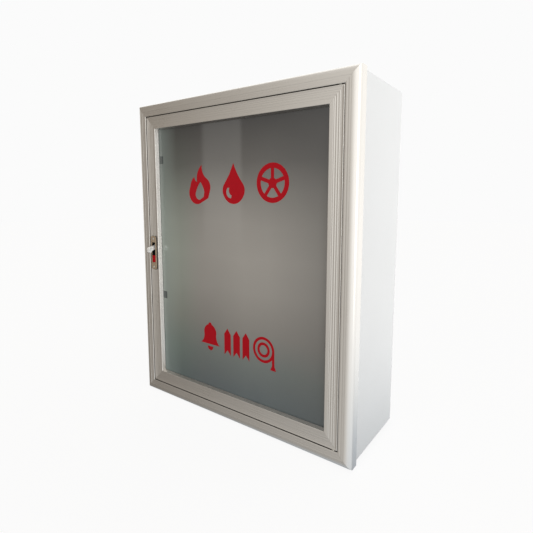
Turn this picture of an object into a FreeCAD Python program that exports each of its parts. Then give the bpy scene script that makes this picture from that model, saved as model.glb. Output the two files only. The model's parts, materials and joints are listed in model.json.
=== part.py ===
"""Standpipe cabinet: a wall-hung sheet-steel box with an aluminium front frame and a glazed door.

Millimetres. X runs to the right as seen from the front, Y runs into the wall, Z runs up.
The origin is the centre of the four wall-fixing holes, in the plane of the wall.
"""
import FreeCAD, Part
import math
import os

# ---------------------------------------------------------------- driving dimensions
WIDTH = 650.0                 # over the frame
HEIGHT = 800.0
DEPTH = 240.0                 # wall to the front of the frame
FRAME_PROUD = 2.5             # frame in front of the door's flat faces
FRONT_Y = -DEPTH
FACE_Y = FRONT_Y + FRAME_PROUD

# front frame, measured inward (u) and back from its front (v)
FRAME_FACE = 31.0             # outer edge to the opening
FRAME_BACK = 25.5             # rear face of the bars
STOP_LIP = 8.0                # lip that the door closes against
STOP_LIP_FRONT = 24.0
BUMPER_RADIUS = 3.3
SIDE_WRAP = 28.0              # the side skirt reaches this far back
SKIRT = 3.8
EDGE_WIDE = 16.5              # the rounded outer edge is a quarter ellipse
EDGE_DEEP = 10.0
FRAME_RIBS = (18.5, 24.3)     # where each of the two flat ribs starts
FRAME_RIB_WIDE = 5.4
FRAME_RIB_RISE = 0.18
FRAME_FALL = 0.045            # slope of the face towards the opening
FRAME_WALL = 1.6
FRAME_CHAMBER = 5.0           # front of the bars' inner space
MITRE_GAP = 0.04              # half the hairline at each mitre

# box
SHEET = 1.2
BOX_SIDE_INSET = 4.0
BOX_END_INSET = 5.0
FLANGE = 24.0
TRAY_CLEAR = 0.4              # top and bottom trays inside the folded sheet
TRAY_RIM = 15.0
WALL_HOLE_RADIUS = 5.5
WALL_HOLE_SPAN_X = 500.0
WALL_HOLE_SPAN_Z = 600.0

# door leaf, measured inward (u) and back from its flat face (w)
GAP = 1.5
LEAF_X = WIDTH / 2 - FRAME_FACE - GAP
LEAF_Z = HEIGHT / 2 - FRAME_FACE - GAP
LEAF_LEG = 16.4               # depth of the leaf's outer leg
WEB_FRONT = 10.6
WEB_BACK = 12.2
REBATE_EDGE = 26.5            # outer wall of the glass rebate
RETURN_TOP = 32.2
RETURN_FOOT = 34.6
RIB_PITCH = 5.4
FIRST_RIB = 10.2
RIB_COUNT = 3
RIB_HALF = 1.8
RIB_CREST = 0.4
RIB_VALLEY = 0.72

# pane
GLASS_THICK = 4.0
GLASS_FRONT = 11.4
GLASS_EDGE = 27.4
CLIP_HEIGHTS = (254.0, -114.0)
CLIP_TALL = 20.0

# door pivot
PIVOT_SET_IN = 10.5           # from the leaf's right edge
PIVOT_SET_BACK = 5.2          # from the leaf's flat face
PIVOT_X = LEAF_X - PIVOT_SET_IN
PIVOT_Y = FACE_Y + PIVOT_SET_BACK
PIN_RADIUS = 2.0
PIN_HEAD_RADIUS = 2.6
PIN_HEAD_TALL = 2.0
PIN_ENTRY = 9.0               # length inside the bush
BUSH_RADIUS = 3.2
BUSH_LONG = 10.0
BUSH_FLANGE = 0.6             # the thrust washer fills the rest of the gap
BUSH_FLANGE_RADIUS = 4.6
RUNNING = 0.05                # radial clearance of turning fits

# lock
LOCK_X = -277.0
LOCK_Z = 3.0
BEZEL_WIDE = 22.0
BEZEL_TALL = 92.0
BEZEL_THICK = 1.8
LOCK_GASKET = 1.2             # under the bezel
BEZEL_FRONT = -BEZEL_THICK - LOCK_GASKET
HOUSING_HALF = 9.0
HOUSING_LOW = -29.8
HOUSING_HIGH = 37.8
HOUSING_BACK = 34.0
CAVITY_HALF = 7.8
CAVITY_LOW = -24.0
CAVITY_HIGH = 32.0
LEVER_Z = 20.0
LEVER_W = 5.0
LEVER_HALF = 4.5
BOLT_LOW = 5.0
BOLT_HIGH = 15.0
BOLT_FRONT = 24.2
BOLT_BACK = 30.2

# signs on the glass
SIGN_THICK = 0.15
UPPER_CENTRES = (-106.0, 5.0, 118.0)
UPPER_Z = 188.0
UPPER_TALL = 95.0
LOWER_CENTRES = (-79.0, 10.0, 96.0)
LOWER_Z = -202.0
LOWER_TALL = 82.0

# landing valve
VALVE_X = 190.0
VALVE_Y = -105.0
NECK_RADIUS = 42.0
NECK_FOOT = -399.0
INLET_THREAD_RADIUS = 37.5
INLET_THREAD_LONG = 25.0
INLET_BORE = 33.0
GROMMET_GROOVE = 47.0         # hole in the bottom tray
GROMMET_LIP = 4.0
GROMMET_LIP_TALL = 2.5
GLOBE_Z = -300.0
GLOBE_RADIUS = 58.0
SHOULDER_RADIUS = 48.0        # neck under the body's flange
CHAMBER_RADIUS = 44.0
BRANCH_Z = -286.0
BRANCH_LONG = 46.0
BRANCH_RADIUS = 32.0
BRANCH_BORE = 21.5
SEAT_Z = -308.0
SEAT_RADIUS = 30.0
DISC_RADIUS = 38.0
DISC_THICK = 8.0
DISC_SEAL_THICK = 5.0
DISC_BOSS_RADIUS = 16.0
DISC_BOSS_TALL = 12.0
BODY_FLANGE = 12.0
BONNET_Z = -240.0
BONNET_RADIUS = 60.0
BONNET_MOUTH = 40.5           # opening under the bonnet
BONNET_FLANGE = 9.0
BONNET_DOME = 26.0
BONNET_STACK_RADIUS = 16.0
BONNET_TALL = 52.0
BONNET_BOLT_CIRCLE = 53.0     # radius
BONNET_BOLT_RADIUS = 3.5
GLAND_TALL = 14.0
SPINDLE_RADIUS = 9.0
WHEEL_Z = -150.0
WHEEL_RADIUS = 55.0
WHEEL_RIM_RADIUS = 7.0
WHEEL_HUB_RADIUS = 15.0
WHEEL_HUB_TALL = 14.0
WHEEL_SPOKES = 5
SPINDLE_SQUARE = 5.5          # half across flats
SPINDLE_STUD = 4.5

# rolled hose
COIL_X = -85.0
COIL_Z = 70.0
COIL_RADIUS = 150.0
COIL_CORE = 38.0
HOSE_FRONT = -122.0
HOSE_BACK = -22.0
HOSE_FOLD = 6.0               # thickness of the flat hose
TAIL_FOOT = -130.0
TAIL_GAP = 0.2                # between the coil and its hanging ends
COUPLING_RADIUS = 46.0
COUPLING_LONG = 66.0
HOSE_COUPLING_BORE = 30.0
SADDLE_HALF_ANGLE = 50.0
SADDLE_SHEET = 2.0
SADDLE_STOP = 14.0            # height of the front stop
SADDLE_HALF_FOOT = 90.0

# nozzle
NOZZLE_X = 235.0
NOZZLE_Y = -80.0
NOZZLE_FOOT = -60.0
NOZZLE_CONE_FOOT = -5.0
NOZZLE_CONE_TOP = 290.0
NOZZLE_WIDE = 30.0
NOZZLE_NARROW = 12.0
NOZZLE_BORE = 27.0
TIP_RADIUS = 15.0
TIP_BORE = 9.5
TIP_LONG = 24.0
NOZZLE_CLIP_HEIGHTS = (100.0, 240.0)
CLIP_BAND = 16.0              # height of a clip's ring
CLIP_SHEET = 1.5
CLIP_SCREW_SET = 15.0         # above and below the ring's middle

# dome-headed fasteners in the back panel
RIVET_RADIUS = 2.2
RIVET_HEAD_RADIUS = 4.0
RIVET_HEAD_TALL = 2.0
PLATE_THICK = 2.0             # the foot they hold down

ORIGIN = FreeCAD.Vector(0, 0, 0)
ALONG_X = FreeCAD.Vector(1, 0, 0)
ALONG_Y = FreeCAD.Vector(0, 1, 0)
ALONG_Z = FreeCAD.Vector(0, 0, 1)


# ---------------------------------------------------------------- small helpers
def block(x_low, x_high, y_low, y_high, z_low, z_high):
    corner = FreeCAD.Vector(x_low, y_low, z_low)
    return Part.makeBox(x_high - x_low, y_high - y_low, z_high - z_low, corner)


def rod(radius, x, y, z, length, axis=ALONG_Z):
    """Cylinder that starts at (x, y, z) and runs along axis."""
    return Part.makeCylinder(radius, length, FreeCAD.Vector(x, y, z), axis)


def tube(outer, inner, x, y, z, length, axis=ALONG_Z):
    return rod(outer, x, y, z, length, axis).cut(rod(inner, x, y, z, length, axis))


def hexagon(across_flats, x, y, z, length, axis=ALONG_Z):
    radius = across_flats / math.sqrt(3)
    points = []
    for corner in range(7):
        angle = math.radians(60 * corner)
        points.append(FreeCAD.Vector(radius * math.cos(angle), radius * math.sin(angle), 0))
    prism = Part.Face(Part.makePolygon(points)).extrude(ALONG_Z * length)
    prism.Placement = FreeCAD.Placement(FreeCAD.Vector(x, y, z), FreeCAD.Rotation(ALONG_Z, axis))
    return prism


def fuse(shapes):
    """One solid from touching shapes."""
    joined = shapes[0]
    for shape in shapes[1:]:
        joined = joined.fuse(shape)
    return joined.removeSplitter()


def cut_all(shape, tools):
    for tool in tools:
        shape = shape.cut(tool)
    return shape


def group(shapes):
    """Separate solids kept in one node."""
    return Part.makeCompound(shapes)


def outline(start, steps, place):
    """Closed wire. A step is (end) for a straight side or (middle, end) for an arc."""
    edges = []
    here = start
    for step in list(steps) + [start]:
        if isinstance(step[0], tuple):
            middle, end = step
            edges.append(Part.Arc(place(here), place(middle), place(end)).toShape())
        else:
            end = step
            edges.append(Part.makeLine(place(here), place(end)))
        here = end
    return Part.Wire(edges)


def save(name, shape):
    shape.exportStep(os.path.join("parts", name + ".step"))


def mirror_z(shape):
    return shape.mirror(ORIGIN, ALONG_Z)


# ---------------------------------------------------------------- mitred bars
def mitred_bar(outer, chamber, half_length, reach, front_y, turn):
    """Hollow bar along the top edge, mitred at both ends, then turned about Y to its own edge."""
    def place(point):
        return FreeCAD.Vector(-half_length, front_y + point[1], reach - point[0])

    skin = Part.Face(outline(outer[0], outer[1:], place))
    hollow = Part.Face(outline(chamber[0], chamber[1:], place))
    bar = skin.cut(hollow).extrude(ALONG_X * (2 * half_length))
    depth = 60.0
    over = 2.0
    wide = half_length + over - MITRE_GAP
    narrow = half_length - depth - MITRE_GAP
    behind = front_y - 10.0
    top = reach + over
    foot = reach - depth
    corners = [(-wide, top), (wide, top), (narrow, foot), (-narrow, foot)]
    points = [FreeCAD.Vector(x, behind, z) for x, z in corners + corners[:1]]
    trapezoid = Part.Face(Part.makePolygon(points)).extrude(ALONG_Y * 60.0)
    bar = bar.common(trapezoid)
    bar.rotate(ORIGIN, ALONG_Y, turn)
    return bar


def round_edge():
    """Two arcs through a quarter ellipse, from the bar's side to its face."""
    def point(degrees):
        angle = math.radians(degrees)
        return EDGE_WIDE * (1 - math.cos(angle)), EDGE_DEEP * (1 - math.sin(angle))

    return [point(0), (point(22), point(45)), (point(67), point(90))]


def frame_outline():
    """Rounded outer edge, nearly level face with two flat ribs, then the stop lip and side skirt."""
    def foot(u):
        return u, 0.25 + FRAME_FALL * (u - EDGE_WIDE)

    points = round_edge() + [(FRAME_RIBS[0] - 0.4, 0.05)]
    for start in FRAME_RIBS:
        middle = start + FRAME_RIB_WIDE / 2
        crest = (middle, foot(middle)[1] - FRAME_RIB_RISE)
        points += [foot(start), (crest, foot(start + FRAME_RIB_WIDE))]
    return points + [(FRAME_FACE - 0.6, 0.95), (FRAME_FACE, 1.5), (FRAME_FACE, STOP_LIP_FRONT),
                     (FRAME_FACE + STOP_LIP, STOP_LIP_FRONT), (FRAME_FACE + STOP_LIP, FRAME_BACK),
                     (SKIRT, FRAME_BACK), (SKIRT, SIDE_WRAP), (0, SIDE_WRAP)]


def frame_chamber():
    wall = FRAME_WALL
    inner_wall = FRAME_FACE - wall
    return [(wall, EDGE_DEEP), ((3.0, 6.9), (6.4, FRAME_CHAMBER)), (inner_wall, FRAME_CHAMBER),
            (inner_wall, STOP_LIP_FRONT), (wall, STOP_LIP_FRONT)]


def door_outline():
    """Raised lip, hollow band, three ribs, inner band, return to the glass, rebate and rear legs."""
    points = [(0, 1.0), ((0.3, 0.3), (1.0, 0)), (1.9, 0), ((4.7, 0.55), (7.5, 0.4))]
    for index in range(RIB_COUNT):
        middle = FIRST_RIB + index * RIB_PITCH
        points.append((middle - RIB_HALF, RIB_VALLEY))
        points.append(((middle, RIB_CREST), (middle + RIB_HALF, RIB_VALLEY)))
    points += [(23.6, 0.5), (31.2, 0.5), ((31.9, 0.75), (RETURN_TOP, 1.4)), (RETURN_FOOT, WEB_FRONT),
               (REBATE_EDGE, WEB_FRONT), (REBATE_EDGE, LEAF_LEG), (25.0, LEAF_LEG), (25.0, WEB_BACK),
               (1.6, WEB_BACK), (1.6, LEAF_LEG), (0, LEAF_LEG)]
    return points


def door_chamber():
    return [(1.6, 3.4), (30.2, 3.4), (32.0, 9.0), (25.2, 9.0), (25.2, WEB_FRONT), (1.6, WEB_FRONT)]


def corner_keys(half_width, half_height, edge_near, edge_far, leg, y_front, y_back):
    """Four L-shaped cleats that slide into the hollow bars at the mitres."""
    keys = []
    for side_x in (1, -1):
        for side_z in (1, -1):
            near_x = half_width - edge_near
            near_z = half_height - edge_near
            flat = block(near_x - leg, near_x, y_front, y_back, half_height - edge_far, near_z)
            tall = block(half_width - edge_far, near_x, y_front, y_back, near_z - leg, near_z)
            key = fuse([flat, tall])
            if side_x < 0:
                key = key.mirror(ORIGIN, ALONG_X)
            if side_z < 0:
                key = mirror_z(key)
            keys.append(key)
    return keys


# ---------------------------------------------------------------- box
def frame_screw_places():
    across = WIDTH / 2 - 15.0
    up = HEIGHT / 2 - 15.0
    places = [(side * across, z) for side in (-1, 1) for z in (-300.0, 0.0, 300.0)]
    places += [(x, side * up) for side in (-1, 1) for x in (-200.0, 0.0, 200.0)]
    return places


def screw_tools(radius):
    return [rod(radius, x, FRONT_Y + 22.0, z, 8.0, ALONG_Y) for x, z in frame_screw_places()]


def build_box():
    half_x = WIDTH / 2 - BOX_SIDE_INSET
    half_z = HEIGHT / 2 - BOX_END_INSET
    front = FRONT_Y + FRAME_BACK
    outer = block(-half_x, half_x, front, 0, -half_z, half_z)
    outer = outer.makeFillet(2.0, [edge for edge in outer.Edges if edge.Length > 2 * half_z - 1])
    inner = block(-half_x + SHEET, half_x - SHEET, front + SHEET, -SHEET, -half_z - 5, half_z + 5)
    inner = inner.makeFillet(0.8, [edge for edge in inner.Edges if edge.Length > 2 * half_z])
    mouth = block(-half_x + FLANGE, half_x - FLANGE, front - 5, front + 5, -half_z - 5, half_z + 5)
    sheet = outer.cut(inner).cut(mouth)
    for x in (-WALL_HOLE_SPAN_X / 2, WALL_HOLE_SPAN_X / 2):
        for z in (-WALL_HOLE_SPAN_Z / 2, WALL_HOLE_SPAN_Z / 2):
            sheet = sheet.cut(rod(WALL_HOLE_RADIUS, x, -5, z, 10, ALONG_Y))
    save("body_sheet", cut_all(sheet, screw_tools(2.3)))

    tray_x = half_x - SHEET - TRAY_CLEAR
    tongue_x = half_x - FLANGE - 0.2
    tray_front = front + SHEET + TRAY_CLEAR
    tray_back = -SHEET - TRAY_CLEAR
    under = half_z - SHEET
    rim = half_z - TRAY_RIM
    pieces = [block(-tray_x, tray_x, tray_front, tray_back, under, half_z),
              block(-tongue_x, tongue_x, front, tray_front, under, half_z),
              block(-tongue_x, tongue_x, front, front + SHEET, half_z - FLANGE, half_z),
              block(-tray_x, tray_x, tray_back - SHEET, tray_back, rim, half_z),
              block(-tray_x, -tray_x + SHEET, tray_front, tray_back, rim, half_z),
              block(tray_x - SHEET, tray_x, tray_front, tray_back, rim, half_z)]
    tray = cut_all(fuse(pieces), screw_tools(2.3))
    save("top_panel", tray)
    bottom = mirror_z(tray)
    hole = rod(GROMMET_GROOVE, VALVE_X, VALVE_Y, -half_z - 5, 10)
    save("bottom_panel", bottom.cut(hole))

    lip = GROMMET_GROOVE + GROMMET_LIP
    lip_low = rod(lip, VALVE_X, VALVE_Y, -half_z - GROMMET_LIP_TALL, GROMMET_LIP_TALL)
    waist = rod(GROMMET_GROOVE, VALVE_X, VALVE_Y, -half_z, SHEET)
    lip_high = rod(lip, VALVE_X, VALVE_Y, -half_z + SHEET, GROMMET_LIP_TALL)
    bore = rod(NECK_RADIUS, VALVE_X, VALVE_Y, -half_z - 5, 20)
    save("inlet_grommet", fuse([lip_low, waist, lip_high]).cut(bore))

    screws = []
    for x, z in frame_screw_places():
        head = rod(3.6, x, front + SHEET, z, 2.0, ALONG_Y)
        shank = rod(2.0, x, front - 8.0, z, 8.0 + SHEET, ALONG_Y)
        slot = block(x - 2, x + 2, front + SHEET + 1.2, front + 5, z - 0.4, z + 0.4)
        screws.append(fuse([head, shank]).cut(slot))
    save("frame_screws", group(screws))


# ---------------------------------------------------------------- fixed frame
def pivot_pin():
    """Headed pin held in the frame's inner wall; it reaches down into the door's bush."""
    wall_top = HEIGHT / 2 - FRAME_FACE + FRAME_WALL
    foot = LEAF_Z - PIN_ENTRY
    stem = rod(PIN_RADIUS, PIVOT_X, PIVOT_Y, foot, wall_top - foot)
    head = rod(PIN_HEAD_RADIUS, PIVOT_X, PIVOT_Y, wall_top, PIN_HEAD_TALL)
    return fuse([stem, head])


def build_frame():
    half_x = WIDTH / 2
    half_z = HEIGHT / 2
    pin_hole = rod(PIN_RADIUS, PIVOT_X, PIVOT_Y, half_z - FRAME_FACE - 1, 4)
    tools = screw_tools(2.0) + [pin_hole, mirror_z(pin_hole)]
    bars = (("frame_top", half_x, half_z, 0), ("frame_right", half_z, half_x, 90),
            ("frame_bottom", half_x, half_z, 180), ("frame_left", half_z, half_x, 270))
    for name, half_length, reach, turn in bars:
        bar = mitred_bar(frame_outline(), frame_chamber(), half_length, reach, FRONT_Y, turn)
        save(name, cut_all(bar, tools))
    save("frame_corner_keys", group(corner_keys(half_x, half_z, 6, 27, 60, FRONT_Y + 6.5, FRONT_Y + 20.5)))

    pin = pivot_pin()
    save("door_pivot_pins", group([pin, mirror_z(pin)]))
    floor = HEIGHT / 2 - FRAME_FACE
    washer = tube(BUSH_FLANGE_RADIUS, PIN_RADIUS + RUNNING, PIVOT_X, PIVOT_Y, -floor, GAP - BUSH_FLANGE)
    save("thrust_washer", washer)

    bumpers = []
    lip_y = FRONT_Y + STOP_LIP_FRONT
    door_back = FACE_Y + LEAF_LEG
    tall = lip_y - door_back - 0.1
    set_in = FRAME_FACE + BUMPER_RADIUS + 0.2
    mid_x = set_in - WIDTH / 2
    mid_z = HEIGHT / 2 - set_in
    for x, z in ((mid_x, -250), (mid_x, 150), (mid_x, 300), (-150, mid_z), (-150, -mid_z)):
        bumper = rod(BUMPER_RADIUS, x, lip_y - tall, z, tall, ALONG_Y)
        face = [edge for edge in bumper.Edges if edge.BoundBox.YMax < lip_y - tall + 0.01]
        bumpers.append(bumper.makeFillet(0.8, face))
    save("door_bumpers", group(bumpers))


# ---------------------------------------------------------------- door leaf and glass
def clip_screw_places():
    return [(side * (LEAF_X - 17.0), z) for side in (-1, 1) for z in CLIP_HEIGHTS]


def lock_screw_places():
    return [LOCK_Z + side * 39.0 for side in (-1, 1)]


def lock_cutout():
    half = HOUSING_HALF + 0.2
    return block(LOCK_X - half, LOCK_X + half, FACE_Y - 5, FACE_Y + LEAF_LEG,
                 HOUSING_LOW - 0.2, HOUSING_HIGH + 0.2)


def build_leaf():
    bush_foot = LEAF_Z - BUSH_LONG
    bush_hole = rod(BUSH_RADIUS, PIVOT_X, PIVOT_Y, bush_foot, BUSH_LONG + 2)
    clip_holes = [rod(1.5, x, FACE_Y + 8, z, 6, ALONG_Y) for x, z in clip_screw_places()]
    lock_holes = [rod(1.5, LOCK_X, FACE_Y - 5, z, 20, ALONG_Y) for z in lock_screw_places()]
    tools = [bush_hole, mirror_z(bush_hole), lock_cutout()] + clip_holes + lock_holes
    bars = (("door_rail_top", LEAF_X, LEAF_Z, 0), ("door_stile_right", LEAF_Z, LEAF_X, 90),
            ("door_rail_bottom", LEAF_X, LEAF_Z, 180), ("door_stile_left", LEAF_Z, LEAF_X, 270))
    for name, half_length, reach, turn in bars:
        bar = mitred_bar(door_outline(), door_chamber(), half_length, reach, FACE_Y, turn)
        save(name, cut_all(bar, tools))
    keys = corner_keys(LEAF_X, LEAF_Z, 5, 22, 55, FACE_Y + 4.2, FACE_Y + 9.8)
    save("door_corner_keys", group([cut_all(key, [bush_hole, mirror_z(bush_hole)]) for key in keys]))

    barrel = rod(BUSH_RADIUS, PIVOT_X, PIVOT_Y, bush_foot, BUSH_LONG)
    flange = rod(BUSH_FLANGE_RADIUS, PIVOT_X, PIVOT_Y, LEAF_Z, BUSH_FLANGE)
    bore = rod(PIN_RADIUS + RUNNING, PIVOT_X, PIVOT_Y, bush_foot - 2, BUSH_LONG + 10)
    bush = fuse([barrel, flange]).cut(bore)
    save("pivot_bushes", group([bush, mirror_z(bush)]))


def slab(edge, w_front, w_back):
    """Rectangle of the leaf's shape, set in by edge, between two depths behind the face."""
    half_x = LEAF_X - edge
    half_z = LEAF_Z - edge
    return block(-half_x, half_x, FACE_Y + w_front, FACE_Y + w_back, -half_z, half_z)


def build_pane():
    glass_back = GLASS_FRONT + GLASS_THICK
    save("glass_pane", slab(GLASS_EDGE, GLASS_FRONT, glass_back))
    gasket = slab(REBATE_EDGE + 0.1, WEB_FRONT, glass_back + 0.8)
    gasket = gasket.cut(slab(RETURN_FOOT - 0.4, WEB_FRONT - 1, GLASS_FRONT + 1))
    gasket = gasket.cut(slab(GLASS_EDGE, GLASS_FRONT, glass_back))
    save("glass_gasket", gasket.cut(slab(32.5, glass_back - 1, glass_back + 2)))

    arm_front = glass_back + 1.2
    arm_back = arm_front + 1.5
    clips = []
    pads = []
    screws = []
    for side in (-1, 1):
        for z in CLIP_HEIGHTS:
            low = z - CLIP_TALL / 2
            high = z + CLIP_TALL / 2
            foot = block(LEAF_X - 24.5, LEAF_X - 12, FACE_Y + WEB_BACK, FACE_Y + WEB_BACK + 1.5, low, high)
            riser = block(LEAF_X - 24.6, LEAF_X - 23.1, FACE_Y + WEB_BACK, FACE_Y + arm_back, low, high)
            arm = block(LEAF_X - 50, LEAF_X - 23.1, FACE_Y + arm_front, FACE_Y + arm_back, low, high)
            clip = fuse([foot, riser, arm]).cut(rod(1.7, LEAF_X - 17, FACE_Y, z, 30, ALONG_Y))
            pad = block(LEAF_X - 50, LEAF_X - 36, FACE_Y + glass_back, FACE_Y + arm_front, low, high)
            head = rod(3.0, LEAF_X - 17, FACE_Y + WEB_BACK + 1.5, z, 1.8, ALONG_Y)
            shank = rod(1.5, LEAF_X - 17, FACE_Y + 8.5, z, WEB_BACK + 1.5 - 8.5, ALONG_Y)
            screw = fuse([head, shank])
            for shape, bucket in ((clip, clips), (pad, pads), (screw, screws)):
                bucket.append(shape if side > 0 else shape.mirror(ORIGIN, ALONG_X))
    save("glass_clips", group(clips))
    save("glass_clip_pads", group(pads))
    save("glass_clip_screws", group(screws))


# ---------------------------------------------------------------- signs
def sign_place(centre_x, centre_z, tall):
    """Maps a pictogram drawn in a box one unit tall to its place on the glass."""
    surface = FACE_Y + GLASS_FRONT - SIGN_THICK

    def place(point):
        return FreeCAD.Vector(centre_x + tall * point[0], surface, centre_z + tall * point[1])
    return place


def sign_solid(wire, holes=()):
    face = Part.Face(wire)
    for hole in holes:
        face = face.cut(Part.Face(hole))
    return face.extrude(ALONG_Y * SIGN_THICK)


def disc_wire(place, x, z, radius):
    left = (x - radius, z)
    right = (x + radius, z)
    top = Part.Arc(place(left), place((x, z + radius)), place(right)).toShape()
    foot = Part.Arc(place(right), place((x, z - radius)), place(left)).toShape()
    return Part.Wire([top, foot])


def flame_sign(place):
    outer = outline((0.0, -0.5), [((-0.38, -0.34), (-0.36, -0.06)), ((-0.30, 0.10), (-0.20, 0.20)),
                                  ((-0.16, 0.10), (-0.10, 0.06)), ((-0.08, 0.30), (0.08, 0.5)),
                                  ((0.12, 0.28), (0.26, 0.14)), ((0.36, 0.02), (0.38, -0.12)),
                                  (0.30, -0.36)], place)
    heart = outline((0.0, -0.40), [((-0.16, -0.30), (-0.14, -0.18)), ((-0.08, -0.06), (0.02, 0.06)),
                                   ((0.12, -0.08), (0.16, -0.20)), (0.13, -0.33)], place)
    return [sign_solid(outer, [heart])]


def drop_sign(place):
    outer = outline((0.0, 0.5), [((0.14, 0.22), (0.30, 0.0)), ((0.36, -0.16), (0.31, -0.32)),
                                 ((0.0, -0.5), (-0.31, -0.32)), ((-0.36, -0.16), (-0.30, 0.0)),
                                 (-0.14, 0.22)], place)
    shine = outline((-0.20, -0.10), [((-0.22, -0.28), (-0.08, -0.36)), (-0.06, -0.29),
                                     ((-0.14, -0.22), (-0.13, -0.10))], place)
    return [sign_solid(outer, [shine])]


def wheel_sign(place):
    rim = sign_solid(disc_wire(place, 0, 0, 0.46), [disc_wire(place, 0, 0, 0.34)])
    parts = [rim, sign_solid(disc_wire(place, 0, 0, 0.12))]
    for spoke in range(WHEEL_SPOKES):
        angle = math.radians(90 + 360 / WHEEL_SPOKES * spoke)
        along = (math.cos(angle), math.sin(angle))
        across = (-0.045 * along[1], 0.045 * along[0])
        corners = []
        for reach, side in ((0.05, 1), (0.38, 1), (0.38, -1), (0.05, -1)):
            corners.append((reach * along[0] + side * across[0], reach * along[1] + side * across[1]))
        parts.append(sign_solid(outline(corners[0], corners[1:], place)))
    return [fuse(parts)]


def bell_sign(place):
    dome = outline((-0.40, -0.22), [((-0.27, -0.05), (-0.26, 0.14)), ((0.0, 0.42), (0.26, 0.14)),
                                    ((0.27, -0.05), (0.40, -0.22))], place)
    clapper = outline((-0.12, -0.29), [(0.12, -0.29), ((0.085, -0.385), (0.0, -0.42)), (-0.09, -0.38)],
                      place)
    knob = disc_wire(place, 0, 0.41, 0.07)
    return [fuse([sign_solid(dome), sign_solid(knob)]), sign_solid(clapper)]


def chevron_signs(place):
    """Three upright arrowheads side by side."""
    shapes = []
    for centre in (-0.36, 0.0, 0.36):
        points = [(centre - 0.13, -0.42), (centre, -0.26), (centre + 0.13, -0.42), (centre + 0.13, 0.24),
                  (centre, 0.42), (centre - 0.13, 0.24)]
        shapes.append(sign_solid(outline(points[0], points[1:], place)))
    return shapes


def reel_sign(place):
    rings = [sign_solid(disc_wire(place, -0.04, 0.06, 0.38), [disc_wire(place, -0.04, 0.06, 0.30)]),
             sign_solid(disc_wire(place, -0.04, 0.06, 0.22), [disc_wire(place, -0.04, 0.06, 0.14)])]
    tail = outline((0.26, 0.02), [(0.34, 0.02), (0.34, -0.34), (0.40, -0.48), (0.20, -0.48), (0.26, -0.34)],
                   place)
    return [rings[0].fuse(sign_solid(tail)).removeSplitter(), rings[1]]


def build_signs():
    upper = []
    for centre, draw in zip(UPPER_CENTRES, (flame_sign, drop_sign, wheel_sign)):
        upper += draw(sign_place(centre, UPPER_Z, UPPER_TALL))
    save("signs_upper", group(upper))
    lower = []
    for centre, draw in zip(LOWER_CENTRES, (bell_sign, chevron_signs, reel_sign)):
        lower += draw(sign_place(centre, LOWER_Z, LOWER_TALL))
    save("signs_lower", group(lower))


# ---------------------------------------------------------------- lock
def lock_block(half, w_front, w_back, z_low, z_high):
    return block(LOCK_X - half, LOCK_X + half, FACE_Y + w_front, FACE_Y + w_back, z_low, z_high)


def lever_axis_rod(radius, half):
    return rod(radius, LOCK_X - half, FACE_Y + LEVER_W, LEVER_Z, 2 * half, ALONG_X)


def bezel_plate(half, w_front, w_back, tall):
    """Round-cornered plate centred on the lock."""
    plate = lock_block(half, w_front, w_back, LOCK_Z - tall / 2, LOCK_Z + tall / 2)
    corners = [edge for edge in plate.Edges if abs(edge.Length - (w_back - w_front)) < 0.01]
    return plate.makeFillet(6.0, corners)


def front_edges(shape, w):
    """Edges that lie in the plane w behind the leaf's face."""
    return [edge for edge in shape.Edges if edge.BoundBox.YMax < FACE_Y + w + 0.01]


def build_lock_case():
    holes = [rod(1.5, LOCK_X, FACE_Y - 10, z, 30, ALONG_Y) for z in lock_screw_places()]
    bezel = bezel_plate(BEZEL_WIDE / 2, BEZEL_FRONT, -LOCK_GASKET, BEZEL_TALL)
    bezel = bezel.makeFillet(1.2, front_edges(bezel, BEZEL_FRONT))
    window = lock_block(CAVITY_HALF - 0.3, -10, 5, CAVITY_LOW, CAVITY_HIGH)
    save("lock_bezel", cut_all(bezel, [window] + holes))
    gasket = bezel_plate(BEZEL_WIDE / 2 + 0.8, -LOCK_GASKET, 0, BEZEL_TALL + 1.6)
    save("lock_gasket", cut_all(gasket, [window] + holes))

    case = lock_block(HOUSING_HALF, 0, HOUSING_BACK, HOUSING_LOW, HOUSING_HIGH)
    cavity = lock_block(CAVITY_HALF, -1, HOUSING_BACK - 2, CAVITY_LOW, CAVITY_HIGH)
    slide_way = block(LOCK_X - 20, LOCK_X + 20, FACE_Y + BOLT_FRONT - 0.2, FACE_Y + BOLT_BACK + 0.2,
                      BOLT_LOW - 0.2, BOLT_HIGH + 0.2)
    case = cut_all(case, [cavity, slide_way, lever_axis_rod(1.5, 12)])
    save("lock_housing", case)

    plate_front = FACE_Y + WEB_BACK
    plate = block(-LEAF_X + 2.0, -LEAF_X + 24.8, plate_front, plate_front + 1.5, LOCK_Z - 45, LOCK_Z + 45)
    opening = lock_block(HOUSING_HALF + 0.1, 0, 20, HOUSING_LOW - 0.1, HOUSING_HIGH + 0.1)
    save("lock_back_plate", cut_all(plate, [opening] + holes))

    screws = []
    head_front = BEZEL_FRONT - 1.4
    for z in lock_screw_places():
        head = rod(3.0, LOCK_X, FACE_Y + head_front, z, 1.4, ALONG_Y)
        head = head.makeFillet(0.7, front_edges(head, head_front))
        shank = rod(1.5, LOCK_X, FACE_Y + BEZEL_FRONT, z, WEB_BACK + 1.5 - BEZEL_FRONT, ALONG_Y)
        slot = lock_block(4, head_front - 1, head_front + 0.7, z - 0.35, z + 0.35)
        screws.append(fuse([head, shank]).cut(slot))
    save("lock_screws", group(screws))

    tab_front = BEZEL_FRONT + 1.4
    tab = lock_block(CAVITY_HALF - 0.5, tab_front, 1.6, CAVITY_LOW + 0.2, -5.0)
    save("lock_red_tab", tab.makeFillet(0.8, front_edges(tab, tab_front)))


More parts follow.
